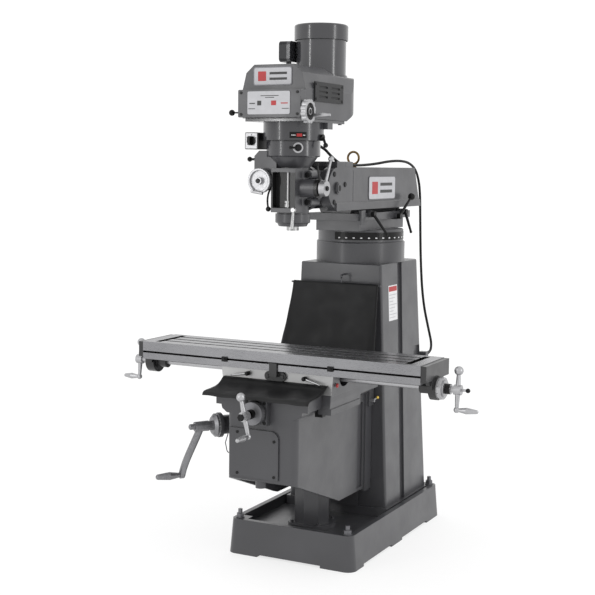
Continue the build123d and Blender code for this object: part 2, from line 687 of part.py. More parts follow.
def belt_outline(inset, z0, z1):
    """Belt housing space: plan, front profile and side profile taken together."""
    half, front = belt_half - inset, belt_front + inset
    plan = Plane.XY.offset(z0) * make_face(
        Polyline((-half, motor_y), (-half, front), (half, front), (half, motor_y))
        + ThreePointArc((half, motor_y), (0, motor_y + half), (-half, motor_y)))
    solid = extrude(plan, z1 - z0)
    face = [(-half, z0), (-half, 1966), (-124 + inset, 2030), (-88 + inset / 2, z1),
            (88 - inset / 2, z1), (124 - inset, 2030), (half, 1966), (half, z0)]
    solid &= front_prism(face, front, motor_y + half + 1)
    back = motor_y + belt_half - inset
    side = [(front, z0), (-285 - inset / 2, z0), (back + 1, 1926 + inset / 2),
            (back + 1, pedestal_top - inset), (-372 - inset, pedestal_top - inset),
            (-410 - inset, z1), (front, z1)]
    return solid & side_prism(side, -half - 1, half + 1)


def belt_housing():
    """Cover over the variable-speed belt drive, open below."""
    solid = belt_outline(0, 1852.1, cover_top)
    solid -= belt_outline(8, 1852, cover_top - 8)
    solid += rod((-18, spindle_y, cover_top - 0.1), (0, 0, 1), 32, 7)
    solid -= rod((0, motor_y, 1990), (0, 0, 1), 16, 60)
    return solid


def belt_base():
    """Floor of the belt housing, on the gear housing."""
    points = [(-132, -290), (-132, -660), (132, -660), (132, -290)]
    solid = prism(Plane.XY.offset(gear_top + 0.05), points, 12)
    solid -= rod((0, spindle_y, 1830), (0, 0, 1), 40, 40)
    return solid + rod((118, -305, 1852), (0, 0, -1), 8, 16) - rod(
        (0, spindle_y, 1830), (0, 0, 1), 20, 40)


def speed_panel():
    """Deep front cover with four screws."""
    solid = block((-136, belt_half + 2), (belt_front - 44, belt_front - 0.05), (1854, 1962))
    solid = fillet([e for e in solid.edges() if abs(e.tangent_at(0).Y) > 0.9], 5)
    for x in (-122, 128):
        for z in (1866, 1950):
            solid += rod((x, belt_front - 44, z), (0, -1, 0), 5.5, 3)
    solid -= rod((110, -690, 1876), (1, 0, 0), 9 + running, 60)
    return solid


def vent_plate():
    """Louvred plate on the belt housing's right flank."""
    x = belt_half + 0.05
    solid = block((x, x + 6), (-594, -334), (1920, 1998))
    for y in (-560, -448):
        for z in (1936, 1955, 1974):
            solid -= block((x + 2, x + 7), (y, y + 78), (z, z + 8))
    for y in (-584, -344):
        for z in (1930, 1988):
            solid += rod((x + 6, y, z), (1, 0, 0), 5, 2.5)
    return solid


def motor_body():
    solid = rod((0, motor_y, pedestal_top + 0.05), (0, 0, 1), motor_r, 154)
    solid += rod((0, motor_y, pedestal_top + 0.05), (0, 0, 1), 112, 9)
    solid -= rod((0, motor_y, 2050), (0, 0, 1), 62, 128)
    return solid - rod((0, motor_y, 2030), (0, 0, 1), 12 + running, 170)


def fan_cowl():
    """Sheet-metal cowl over the motor fan, slotted on top."""
    z0 = pedestal_top + 154.1
    solid = rod((0, motor_y, z0), (0, 0, 1), cowl_r, 65)
    solid = fillet(solid.edges().group_by(Axis.Z)[-1], 9)
    solid -= rod((0, motor_y, z0 - 1), (0, 0, 1), cowl_r - 3, 62)
    for i in range(5):
        radius = 30 + 14 * i
        ring = rod((0, motor_y, z0 + 50), (0, 0, 1), radius + 3, 30) - rod(
            (0, motor_y, z0 + 49), (0, 0, 1), radius - 3, 32)
        spokes = block((-120, 120), (motor_y - 7, motor_y + 7), (z0, z0 + 90)) + block(
            (-7, 7), (motor_y - 120, motor_y + 120), (z0, z0 + 90))
        solid -= ring - spokes
    return solid


def terminal_box():
    solid = block((-148, -96), (-352, -276), (2100, 2186)) - rod(
        (0, motor_y, 2090), (0, 0, 1), motor_r + 0.05, 110)
    solid = fillet([e for e in solid.edges() if abs(e.tangent_at(0).X) > 0.9], 16)
    return solid + rod((-118, -318, 2102), (0, 0, -1), 11, 22)


def drum_switch():
    solid = block((-189, -128), (-562, -478), (1731, 1800))
    solid = fillet([e for e in solid.edges() if abs(e.tangent_at(0).Y) > 0.9], 5)
    solid += block((-128.5, -118), (-520, -480), (1772, 1796)) - rod(
        (0, spindle_y, 1700), (0, 0, 1), 124.05, 140)
    return solid - rod((-158, -570, 1766), (0, 1, 0), 5 + running, 30)


def shift_block():
    """Black casting under the belt housing's right side."""
    return block((96, 146), (-478, -432), (1814, gear_top - 0.1)) - rod(
        (0, spindle_y, 1700), (0, 0, 1), 124.05, 140)


def sheave(y, half, core, bore=0):
    """Variable-speed pulley: two cone faces with the belt between them."""
    solid = rod((0, y, pulley_z), (0, 0, 1), half, 20, core)
    solid += rod((0, y, pulley_z + 20), (0, 0, 1), core, 32)
    solid += rod((0, y, pulley_z + 52), (0, 0, 1), core, 20, half)
    return solid - rod((0, y, pulley_z), (0, 0, 1), bore, 80) if bore else solid


def motor_rotor():
    """Motor shaft with rotor, fan and the driving pulley."""
    y = motor_y
    solid = rod((0, y, 1900), (0, 0, 1), 12, 330) + rod((0, y, 2056), (0, 0, 1), 58, 116)
    solid += sheave(y, 76, 60) + rod((0, y, 2200), (0, 0, 1), 30, 24)
    for i in range(6):
        blade = Rot(0, 0, 60 * i) * block((28, 96), (-1.5, 1.5), (2202, 2224))
        solid += Pos(0, y, 0) * blade
    return solid


def spindle_pulley():
    y = spindle_y
    solid = sheave(y, 104, 88) + rod((0, y, 1866), (0, 0, 1), 34, 50)
    return solid - rod((0, y, 1800), (0, 0, 1), 15 + running, 300)


def drive_belt():
    def loop(r_spindle, r_motor, z0, z1):
        ring = make_hull((Pos(0, spindle_y) * Circle(r_spindle)).edges()
                         + (Pos(0, motor_y) * Circle(r_motor)).edges())
        return extrude(Plane.XY.offset(z0) * ring, z1 - z0)
    z0, z1 = pulley_z + 25, pulley_z + 47
    return loop(98, 70, z0, z1) - loop(88.4, 60.4, z0 - 1, z1 + 1)


def quill():
    solid = rod((0, spindle_y, 1422), (0, 0, 1), quill_r, 262)
    solid -= rod((0, spindle_y, 1420), (0, 0, 1), 34, 270)
    return solid + rod((0, spindle_y, 1422), (0, 0, 1), 34.5, 8) - rod(
        (0, spindle_y, 1400), (0, 0, 1), 25 + running, 300)


def quill_bearings():
    solid = Part()
    for z in (1436, 1456, 1650):
        solid += rod((0, spindle_y, z), (0, 0, 1), 33.95, 16) - rod(
            (0, spindle_y, z - 1), (0, 0, 1), 22 + running, 18)
    return solid


def spindle():
    """Spindle with a taper socket and a splined drive end."""
    y = spindle_y
    solid = rod((0, y, nose_z), (0, 0, 1), 25, 30) + rod((0, y, nose_z + 30), (0, 0, 1), 22, 250)
    solid += rod((0, y, 1680), (0, 0, 1), 15, 306)
    solid -= rod((0, y, nose_z - 0.01), (0, 0, 1), 15.9, 26, 12.07)
    solid -= rod((0, y, nose_z), (0, 0, 1), 12.07, 100)
    solid -= rod((0, y, nose_z), (0, 0, 1), 6.2, 600)
    for angle in (0, 180):
        solid -= Pos(0, y, nose_z + 5) * Rot(0, 0, angle) * Pos(22, 0, 0) * Box(8, 8, 12)
    return solid


def quill_feed_lever():
    """Pinion shaft with its silver hub and ball lever."""
    y, z = -532, 1577
    solid = rod((60, y, z), (1, 0, 0), 12, 96) + rod((149, y, z), (1, 0, 0), 33, 23, 31)
    solid += nut((172, y, z), (1, 0, 0), 16, 6)
    tip = (164, y + 52, z + 118)
    return solid + link((161, y + 8, z + 20), tip, 7, 5) + ball(tip, 12)


def pinion_cap():
    """Black scalloped cap between the pinion boss and the hub."""
    solid = rod((128.1, -532, 1577), (1, 0, 0), 38, 16)
    return solid - rod((120, -532, 1577), (1, 0, 0), 12 + running, 60)


def feed_trip_lever():
    """Flat trip lever between the pinion cap and the quill lever's hub."""
    slice_x = (144.3, 148.7)
    solid = rod((144.3, -532, 1577), (1, 0, 0), 20, 4.4)
    arm = link((146.5, -538, 1587), (146.5, -568, 1668), 6, 5)
    solid += arm & block(slice_x, (-600, -500), (1500, 1700))
    solid += ball((146.5, -570, 1674), 6)
    return solid - rod((140, -532, 1577), (1, 0, 0), 12 + running, 20)


def quill_lock_lever():
    solid = rod((55, -588.2, 1490), (0, -1, 0), 9, 14)
    return solid + link((55, -596, 1490), (54, -606, 1416), 5, 7) + ball((54, -606, 1416), 7)


def feed_handwheel():
    """Dished wheel with a folded handle, facing the operator."""
    x, y, z = -99, spindle_y - 82.4, 1604
    solid = rod((x, y + 70, z), (0, -1, 0), 9, 90)
    rim_ring = rod((x, y - 13, z), (0, -1, 0), 51, 18) - rod((x, y - 21, z), (0, -1, 0), 41, 12)
    rim_ring = chamfer(rim_ring.edges().filter_by(GeomType.CIRCLE).group_by(Axis.Y)[0], 2)
    solid += rim_ring + rod((x, y - 13, z), (0, -1, 0), 15, 24)
    solid += link((x - 26, y - 37, z - 44), (x + 22, y - 37, z - 50), 5.5, 6.5)
    return solid + rod((x - 26, y - 27, z - 42), (0, -1, 0), 7, 14)


def feed_reverse_lever():
    """Curved lever below the feed box, with a black ball."""
    hub = (-60, spindle_y - 72.4, 1578)
    solid = rod(hub, (0, -1, 0), 8, 8)
    y = hub[1] - 4
    path = Spline((-60, y, 1578), (-72, y - 2, 1552), (-75, y - 4, 1522), (-70, y - 6, 1494))
    section = Plane(origin=path @ 0, z_dir=path % 0) * Circle(4)
    return solid + sweep(section, path) + ball((-70, y - 6, 1490), 10.5)


def feed_engage_lever():
    solid = rod((-142.3, -540, 1691), (-1, 0, 0), 9, 10)
    return solid + link((-150, -540, 1691), (-172, -540, 1691), 5) + ball((-178, -540, 1691), 10.5)


def range_lever():
    """High-low lever on the gear housing's front right."""
    out = Vector(66, -88, 0).normalized()
    centre = Vector(0, spindle_y, 1738) + out * 110.4
    solid = rod(centre, out, 14, 8) + rod(centre + out * 8, out, 9, 14)
    side = Vector(88, 66, 0).normalized()
    solid += link(centre + out * 16, centre + out * 16 - side * 34, 4.5, 4)
    return solid + ball(centre + out * 16 - side * 34, 5.5)


def back_gear_lever():
    """Black lever with a ball on the gear housing's right side."""
    solid = rod((124.6, spindle_y, 1780), (1, 0, 0), 13, 12)
    solid += link((134, spindle_y, 1780), (150, spindle_y - 10, 1752), 6, 5)
    return solid + ball((151, spindle_y - 11, 1749), 10)


def brake_lever():
    """Horizontal ball lever on the belt housing's left side."""
    x = -belt_half - 10
    solid = rod((x, -600, 1867), (0, 0, 1), 9.6, 22)
    solid += link((x, -600, 1878), (-222, -600, 1878), 3.2)
    return solid + ball((-229, -600, 1878), 12.5)


def drum_switch_knob():
    solid = rod((-158, -562.3, 1766), (0, -1, 0), 19, 7)
    solid += block((-163, -153), (-588, -568), (1748, 1784))
    return solid + rod((-158, -562.3, 1766), (0, 1, 0), 5, 20)


def speed_handwheel():
    """Scalloped wheel on the right of the speed panel, with a turned handle."""
    y, z = -690, 1876
    solid = rod((120, y, z), (1, 0, 0), 9, 42)
    wheel = rod((154, y, z), (1, 0, 0), 47, 20) - rod((166, y, z), (1, 0, 0), 33, 10)
    for i in range(12):
        a = radians(30 * i)
        wheel -= rod((150, y + 51 * cos(a), z + 51 * sin(a)), (1, 0, 0), 8, 30)
    solid += wheel + rod((160, y, z), (1, 0, 0), 14, 14)
    grip = (168, y + 38 * cos(radians(-20)), z + 38 * sin(radians(-20)))
    solid += rod(grip, (1, 0, 0), 7, 40, 9)
    return solid + rod((208, grip[1], grip[2]), (1, 0, 0), 9, 34, 5)


# ---- Power cable, in runs that meet end to end ----
cable_route = {
    "cable_head": [(-158, -477.5, 1768), (-158, -411, 1772), (-108, -370, 1780),
                   (-44, -362, 1782), (-4, -337, 1766)],
    "cable_front": [(-4, -337, 1766), (42, -308.25, 1747.6), (48, -240, 1708),
                    (45, -180, 1689.5)],
    "cable_ram": [(45, -180, 1689.5), (42, -120, 1671), (50, -10, 1671),
                  (46, 100, 1672), (58, 215, 1679), (80, 320, 1692), (97, 420, 1695),
                  (104, 510, 1685), (107, 585, 1652), (109, 624, 1592), (112, 632, 1530),
                  (115, 630, 1468), (119, 625, 1402)],
    "cable_drop": [(119, 625, 1402), (123, 620, 1336), (131, 609, 1240), (140, 600, 1150),
                   (149, 596, 1064), (160, 600, 980), (174, 606, 912), (188, 606, 856),
                   (201, 596, 820), (210, 572, 792), (214, 539, 778), gland_mouth],
}


def cable_run(points):
    """Tube of straight runs joined by arcs as large as the runs allow."""
    points = [Vector(*p) for p in points]
    radii = []
    for before, here, after in zip(points, points[1:], points[2:]):
        turn = radians((here - before).get_angle(after - here))
        shorter = min((here - before).length, (after - here).length)
        radii.append(0.45 * shorter / tan(turn / 2))
    path = FilletPolyline(*points, radius=radii)
    section = Plane(origin=path @ 0, z_dir=path % 0) * Circle(cable_r)
    solid = sweep(section, path)
    print("  cable radii", [round(r) for r in radii], "length", round(path.length),
          "volume ratio", round(solid.volume / (pi * cable_r**2 * path.length), 4))
    return solid


def main():
    os.makedirs("parts", exist_ok=True)
    nodes = {
        "base_casting": base_casting(),
        "levelling_bolts": levelling_bolts(),
        "screw_pedestal": screw_pedestal(),
        "column_casting": column_casting() + turret_seat() + cable_gland() + cover_hanger(),
        "column_rear_door": column_rear_door(),
        "rear_way_cover": rear_way_cover(),
        "knee_casting": knee_casting() + knee_flanges() - elevating_shaft_hole(),
        "knee_front_cover": knee_front_cover(),
        "cross_feed_bracket": cross_feed_bracket(),
        "elevating_bracket": elevating_bracket() + knee_oil_line(),
        "elevating_screw": elevating_screw(),
        "elevating_crank": elevating_crank(),
        "knee_lock_lever": knee_lock_lever(),
        "cross_feed_screw": cross_feed_screw(),
        "saddle_casting": saddle_casting() + saddle_nut(),
        "table_stop_bracket": table_stop_bracket(),
        "front_way_cover": front_way_cover(),
        "saddle_rear_cover": saddle_rear_cover(),
        "table_lock_lever_left": lock_lever(-128, -1),
        "table_lock_lever_right": lock_lever(133, 1),
        "table_slab": table_slab(),
        "table_end_brackets": table_end_bracket(-1) + table_end_bracket(1),
        "table_stop_dogs": table_stop_dogs(),
        "table_screw": table_screw(),
        "turret_casting": turret_casting(),
        "ram_clamp_lever_front": clamp_lever((-2, 1458), (204, 14, 1371)),
        "ram_clamp_lever_rear": clamp_lever((366, 1458), (194, 320, 1368)),
        "ram_feed_lever": clamp_lever((297, 1440), (158, 408, 1528), 17),
        "ram_casting": ram_casting() + ram_rear_cover(),
        "nod_pin": nod_pin(),
        "eyebolt": eyebolt(),
        "adapter_casting": adapter_casting(),
        "head_casting": head_casting() + housing_collar() + depth_stop_rod() + pinion_cap(),
        "depth_stop_nuts": depth_stop_nuts(),
        "gear_housing": gear_housing() + belt_base() + shift_block(),
        "belt_housing": belt_housing() + vent_plate(),
        "speed_panel": speed_panel(),
        "motor_body": motor_body() + terminal_box(),
        "fan_cowl": fan_cowl(),
        "drum_switch": drum_switch(),
        "drum_switch_knob": drum_switch_knob(),
        "motor_rotor": motor_rotor(),
        "spindle_pulley": spindle_pulley(),
        "drive_belt": drive_belt(),
        "quill": quill(),
        "spindle": spindle(),
        "quill_feed_lever": quill_feed_lever(),
        "feed_trip_lever": feed_trip_lever(),
        "quill_lock_lever": quill_lock_lever(),
        "feed_handwheel": feed_handwheel(),
        "feed_reverse_lever": feed_reverse_lever(),
        "feed_engage_lever": feed_engage_lever(),
        "range_lever": range_lever(),
        "back_gear_lever": back_gear_lever(),
        "brake_lever": brake_lever(),
        "speed_handwheel": speed_handwheel(),
    }
    for name, route in cable_route.items():
        nodes[name] = cable_run(route)
    for name, shape in nodes.items():
        save(name, shape)


main()
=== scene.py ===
# Finish, soft parts and small fittings of a turret milling machine, over its CAD model.
# Metres, with X to the machine's right, -Y to the operator and Z up from the floor.
from math import cos, pi, radians, sin

import bpy
from mathutils import Euler, Matrix, Vector


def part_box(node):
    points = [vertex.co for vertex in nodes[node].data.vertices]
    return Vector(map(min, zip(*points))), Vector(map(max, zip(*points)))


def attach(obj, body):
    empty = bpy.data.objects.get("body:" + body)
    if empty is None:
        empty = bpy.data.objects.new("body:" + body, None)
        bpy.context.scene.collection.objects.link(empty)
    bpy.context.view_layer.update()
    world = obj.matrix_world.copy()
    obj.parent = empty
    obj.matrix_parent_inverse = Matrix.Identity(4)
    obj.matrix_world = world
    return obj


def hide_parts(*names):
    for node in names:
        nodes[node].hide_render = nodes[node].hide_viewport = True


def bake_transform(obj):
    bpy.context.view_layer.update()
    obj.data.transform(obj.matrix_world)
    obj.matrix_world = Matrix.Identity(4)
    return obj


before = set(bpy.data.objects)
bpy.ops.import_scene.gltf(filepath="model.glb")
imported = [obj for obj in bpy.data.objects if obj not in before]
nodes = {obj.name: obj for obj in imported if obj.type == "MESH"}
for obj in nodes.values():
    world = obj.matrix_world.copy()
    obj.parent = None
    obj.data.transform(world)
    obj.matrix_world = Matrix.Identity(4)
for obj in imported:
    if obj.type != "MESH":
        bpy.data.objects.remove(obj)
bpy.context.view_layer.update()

# ---- Driving sizes ----
camera_place = (2.32066, -4.96409, 1.66813)
camera_yaw, camera_down, camera_roll = 27.174, 6.153, 0.635
camera_lens, sensor_width = 74.18, 36
sky_strength, floor_tone, floor_glow, floor_half = 1.06, 0.3, 0.7, 30
left_strip_power, right_strip_power = 24, 27
light_target_z = 1.3

spindle_y = -0.494
belt_front = -0.668
panel_front = belt_front - 0.0443
nod_y, nod_z = -0.325, 1.575
table_y, screw_z = -0.521, 0.812
cross_screw_x, cross_screw_z = -0.012, 0.69
speed_wheel_y, speed_wheel_z = -0.69, 1.876
turret_y = 0.187
ring_radius, ring_z = 0.1952, (1.34, 1.374)
ram_flank = 0.1195
gear_radius = 0.124
column_foot = (0.242, 0.15)
column_flank_height, column_taper = 1.087, 0.045
cable_diameter = 0.012
vinyl_thickness, rubber_thickness = 0.0035, 0.004

to_right, to_front, to_rear, upward = (1, 0, 0), (0, -1, 0), (0, 1, 0), (0, 0, 1)
corner_signs = ((-1, -1), (1, -1), (-1, 1), (1, 1))
front_axes = (to_right, upward, to_front)
flank_axes = (to_rear, upward, to_right)


# ---- Shader helpers ----
def material(name, colour, rough, metal=0.0, coat=0.0):
    """Principled material; returns it with its tree and shader node."""
    made = bpy.data.materials.new(name)
    made.use_nodes = True
    shader = made.node_tree.nodes["Principled BSDF"]
    shader.inputs["Base Color"].default_value = (*colour, 1)
    shader.inputs["Roughness"].default_value = rough
    shader.inputs["Metallic"].default_value = metal
    shader.inputs["Coat Weight"].default_value = coat
    return made, made.node_tree, shader


def add(tree, kind, **settings):
    """Shader node with its settings; an input's value is given by the input's name."""
    node = tree.nodes.new(kind)
    for key, value in settings.items():
        if hasattr(node, key):
            setattr(node, key, value)
        else:
            node.inputs[key.replace("_", " ")].default_value = value
    return node


def coordinates(tree):
    return add(tree, "ShaderNodeTexCoord").outputs["Object"]


def noise(tree, where, scale, detail=3.0, rough=0.5):
    node = add(tree, "ShaderNodeTexNoise", Scale=scale, Detail=detail, Roughness=rough)
    tree.links.new(where, node.inputs["Vector"])
    return node.outputs["Fac"]


def spread(tree, value, low, high, to_low=0.0, to_high=1.0):
    """Value mapped from one range to another, held at its ends."""
    node = add(tree, "ShaderNodeMapRange")
    tree.links.new(value, node.inputs["Value"])
    for key, number in zip(("From Min", "From Max", "To Min", "To Max"),
                           (low, high, to_low, to_high)):
        node.inputs[key].default_value = number
    return node.outputs["Result"]


def blend_colour(tree, share, first, second):
    node = add(tree, "ShaderNodeMix", data_type="RGBA")
    tree.links.new(share, node.inputs["Factor"])
    for key, colour in (("A", first), ("B", second)):
        socket = [s for s in node.inputs if s.name == key and s.type == "RGBA"][0]
        if isinstance(colour, tuple):
            socket.default_value = (*colour, 1)
        else:
            tree.links.new(colour, socket)
    return [s for s in node.outputs if s.type == "RGBA"][0]


def soft_edges(tree, shader, radius, height=None, strength=0.0, distance=0.001):
    """Rounded edges in the shading, with a bump from height laid over them."""
    edge = add(tree, "ShaderNodeBevel", samples=4, Radius=radius)
    normal = edge.outputs["Normal"]
    if height is not None:
        bump = add(tree, "ShaderNodeBump", Strength=strength, Distance=distance)
        tree.links.new(height, bump.inputs["Height"])
        tree.links.new(normal, bump.inputs["Normal"])
        normal = bump.outputs["Normal"]
    tree.links.new(normal, shader.inputs["Normal"])


def painted(name, light, dark, rough, edge=0.0025, coat=0.2, ripple=0.18):
    """Semi-gloss paint over a casting: cloudy tone, uneven sheen, faint ripple."""
    made, tree, shader = material(name, light, rough, coat=coat)
    shader.inputs["Coat Roughness"].default_value = 0.5 * rough
    where = coordinates(tree)
    cloud = spread(tree, noise(tree, where, 3.5, 4), 0.35, 0.68)
    tree.links.new(blend_colour(tree, cloud, dark, light), shader.inputs["Base Color"])
    sheen = spread(tree, noise(tree, where, 9, 3), 0.3, 0.7, rough - 0.06, rough + 0.08)
    tree.links.new(sheen, shader.inputs["Roughness"])
    soft_edges(tree, shader, edge, noise(tree, where, 55, 4), ripple, 0.0015)
    return made


def ground(name, light, dark, rough, stretch, edge=0.001):
    """Ground or turned steel: fine streaks along one direction, oil-dulled patches."""
    made, tree, shader = material(name, light, rough, metal=0.9)
    where = coordinates(tree)
    scaled = add(tree, "ShaderNodeMapping", Scale=stretch)
    tree.links.new(where, scaled.inputs["Vector"])
    streak = spread(tree, noise(tree, scaled.outputs["Vector"], 60, 4, 0.6), 0.3, 0.7)
    cloud = spread(tree, noise(tree, where, 6, 3), 0.3, 0.75)
    tone = blend_colour(tree, streak, dark, light)
    tree.links.new(blend_colour(tree, cloud, tone, light), shader.inputs["Base Color"])
    sheen = spread(tree, streak, 0, 1, rough - 0.05, rough + 0.1)
    tree.links.new(sheen, shader.inputs["Roughness"])
    soft_edges(tree, shader, edge, streak, 0.04, 0.0003)
    return made


def moulded(name, colour, rough, ripple=0.05, scale=120, edge=0.0012, specular=0.2):
    """Plastic or rubber with a faint grain."""
    made, tree, shader = material(name, colour, rough)
    shader.inputs["Specular IOR Level"].default_value = specular
    where = coordinates(tree)
    sheen = spread(tree, noise(tree, where, 14, 3), 0.3, 0.7, rough - 0.05, rough + 0.08)
    tree.links.new(sheen, shader.inputs["Roughness"])
    soft_edges(tree, shader, edge, noise(tree, where, scale, 3), ripple, 0.0008)
    return made


def flat_print(name, colour, rough=0.4):
    """Printed plate, a little worn."""
    made, tree, shader = material(name, colour, rough)
    where = coordinates(tree)
    wear = spread(tree, noise(tree, where, 40, 2), 0.3, 0.8, 1.0, 0.9)
    faded = tuple(0.9 * c for c in colour)
    share = spread(tree, wear, 0.9, 1.0)
    tree.links.new(blend_colour(tree, share, faded, colour), shader.inputs["Base Color"])
    return made


def zone(made, limits, colour, rough, metal=0.0):
    """Another finish where each coordinate in limits lies between its two values; also used to
    lay painted shade into recesses.
    """
    tree = made.node_tree
    shader = tree.nodes["Principled BSDF"]
    parts = add(tree, "ShaderNodeSeparateXYZ")
    tree.links.new(coordinates(tree), parts.inputs["Vector"])
    inside = None
    for axis, low, high in limits:
        for operation, limit in (("GREATER_THAN", low), ("LESS_THAN", high)):
            test = add(tree, "ShaderNodeMath", operation=operation)
            tree.links.new(parts.outputs[axis], test.inputs[0])
            test.inputs[1].default_value = limit
            inside = product(tree, inside, test.outputs["Value"])
    base = shader.inputs["Base Color"].links[0].from_socket
    tree.links.new(blend_colour(tree, inside, base, colour), shader.inputs["Base Color"])
    shine = add(tree, "ShaderNodeMix", data_type="FLOAT", B=rough)
    tree.links.new(inside, shine.inputs["Factor"])
    tree.links.new(shader.inputs["Roughness"].links[0].from_socket, shine.inputs["A"])
    tree.links.new(shine.outputs["Result"], shader.inputs["Roughness"])
    changes = [("Coat Weight", 0), ("Specular IOR Level", 0.25)]
    if metal:
        changes = [("Coat Weight", 0), ("Metallic", metal)]
    for socket, target in changes:
        start = shader.inputs[socket].default_value
        tree.links.new(spread(tree, inside, 0, 1, start, target), shader.inputs[socket])
    return made


def product(tree, first, second):
    if first is None:
        return second
    node = add(tree, "ShaderNodeMath", operation="MULTIPLY")
    tree.links.new(first, node.inputs[0])
    tree.links.new(second, node.inputs[1])
    return node.outputs["Value"]


def grey_paint(name, *zones):
    """Machine grey, with zones in other finishes and zones of painted shade."""
    made = painted(name, grey_light, grey_dark, 0.36)
    for limits, colour, rough, metal in zones:
        zone(made, limits, colour, rough, metal)
    return made


# ---- Materials ----
grey_light, grey_dark = (0.052, 0.052, 0.057), (0.042, 0.042, 0.046)
black = (0.006, 0.006, 0.006)
off_black = (0.02, 0.02, 0.021)
bare_steel = (0.42, 0.42, 0.42)
satin = ((0.46, 0.46, 0.47), (0.34, 0.34, 0.35), 0.34, (2, 2, 2))
bolt_band = ("Y", nod_y - 0.04, nod_y - 0.018)
grey = grey_paint("grey_paint")
head_paint_and_recess_shade = grey_paint(
    "head_paint_and_recess_shade",
    ([("X", 0.1279, 0.2)], black, 0.35, 0),
    # The two black zones that follow are painted shade, filling the recess in the head's front.
    ([("X", -0.054, 0.059), ("Y", -0.5885, -0.587), ("Z", 1.497, 1.639)], black, 0.5, 0),
    ([("X", -0.0445, 0.0365), ("Y", -0.5875, -0.5555), ("Z", 1.4955, 1.6405)], black, 0.5, 0),
    ([("X", 0.012, 0.024), ("Y", -0.5785, -0.5655), ("Z", 1.49, 1.65)], bare_steel, 0.3, 0.85))
vented_paint = grey_paint("vented_paint", ([("X", 0.1401, 0.2)], off_black, 0.45, 0))
panel_paint = grey_paint("panel_paint", ([("Y", -0.72, panel_front)], black, 0.3, 0))
cover_paint = grey_paint("cover_paint", ([("Y", -0.77, -0.7583)], black, 0.3, 0))
knee_paint = grey_paint(
    "knee_paint", ([("X", -0.3, -0.1605), ("Z", 0.4, 0.575)], black, 0.4, 0))
saddle_paint = grey_paint(
    "saddle_paint", ([("Y", -0.63, -0.6245), ("Z", 0.757, 0.9)], bare_steel, 0.42, 0.85))
pin_paint = grey_paint(
    "pin_paint",
    ([bolt_band, ("Z", nod_z + 0.04, nod_z + 0.08)], black, 0.4, 0),
    ([bolt_band, ("Z", nod_z - 0.08, nod_z - 0.04)], black, 0.4, 0),
    ([("Y", -0.27, -0.23)], black, 0.4, 0))
motor_grey = zone(
    painted("motor_paint", (0.044, 0.044, 0.049), (0.038, 0.038, 0.042), 0.2, coat=0.5,
            ripple=0.06),
    [("X", -0.3, -0.112), ("Z", 2.06, 2.4)], (0.018, 0.018, 0.02), 0.3)
cowl_grey = painted("cowl_paint", (0.038, 0.038, 0.042), (0.032, 0.032, 0.036), 0.24, coat=0.4,
                    ripple=0.06)
gear_grey = painted("gear_paint", (0.04, 0.04, 0.045), (0.03, 0.03, 0.034), 0.22, coat=0.4,
                    ripple=0.08)
dark_grey = painted("dark_grey_paint", (0.014, 0.014, 0.015), (0.01, 0.01, 0.011), 0.36)
# Both black zones are painted shade: the inner one fills the front groove, the outer one the
# T-slots in the top.
table_steel_and_slot_shade = zone(
    zone(ground("table_steel_and_slot_shade", (0.27, 0.27, 0.28), (0.19, 0.19, 0.2), 0.26, (1, 14, 14)),
         [("Y", -0.6475, -0.6345), ("Z", 0.8605, 0.8795)], black, 0.6),
    [("Y", -0.605, -0.42), ("Z", 0.88, 0.9125)], black, 0.6)
turned_steel = ground("turned_steel", (0.45, 0.45, 0.45), (0.3, 0.3, 0.3), 0.28, (1, 1, 12))
dull_steel = ground("dull_steel", (0.2, 0.2, 0.21), (0.1, 0.1, 0.11), 0.42, (3, 3, 3))
silver = ground("satin_silver", *satin)
cast_iron = ground("cast_iron", (0.26, 0.26, 0.27), (0.13, 0.13, 0.135), 0.36, (3, 3, 3))
lock_steel = zone(
    zone(ground("lock_steel", *satin), [("X", -0.138, -0.118)], black, 0.4),
    [("X", 0.123, 0.143)], black, 0.4)
dial_steel = zone(
    zone(ground("dial_steel", *satin), [("Y", -0.8085, -0.78)], (0.2, 0.2, 0.21), 0.42, 0.8),
    [("Y", -0.836, -0.8075)], black, 0.4)
black_gloss = moulded("black_gloss", black, 0.22)
vinyl = moulded("black_vinyl", (0.008, 0.008, 0.0085), 0.36, 0.16, 34, specular=0.16)
black_rubber = moulded("black_rubber", (0.009, 0.009, 0.0095), 0.45, 0.15, 60, specular=0.25)
cable_black = moulded("cable_black", (0.004, 0.004, 0.0045), 0.45, specular=0.25)
black_oxide = moulded("black_oxide", (0.009, 0.009, 0.0095), 0.4)
brass = ground("brass", (0.2, 0.125, 0.045), (0.06, 0.04, 0.02), 0.3, (2, 2, 2))
yellow_brass = ground("yellow_brass", (0.7, 0.5, 0.1), (0.55, 0.38, 0.08), 0.3, (2, 2, 2))
white_print = flat_print("white_print", (0.72, 0.72, 0.73))
label_print = flat_print("label_print", (0.46, 0.46, 0.48))
red_print = flat_print("red_print", (0.4, 0.012, 0.014))
black_print = flat_print("black_print", (0.012, 0.012, 0.012))


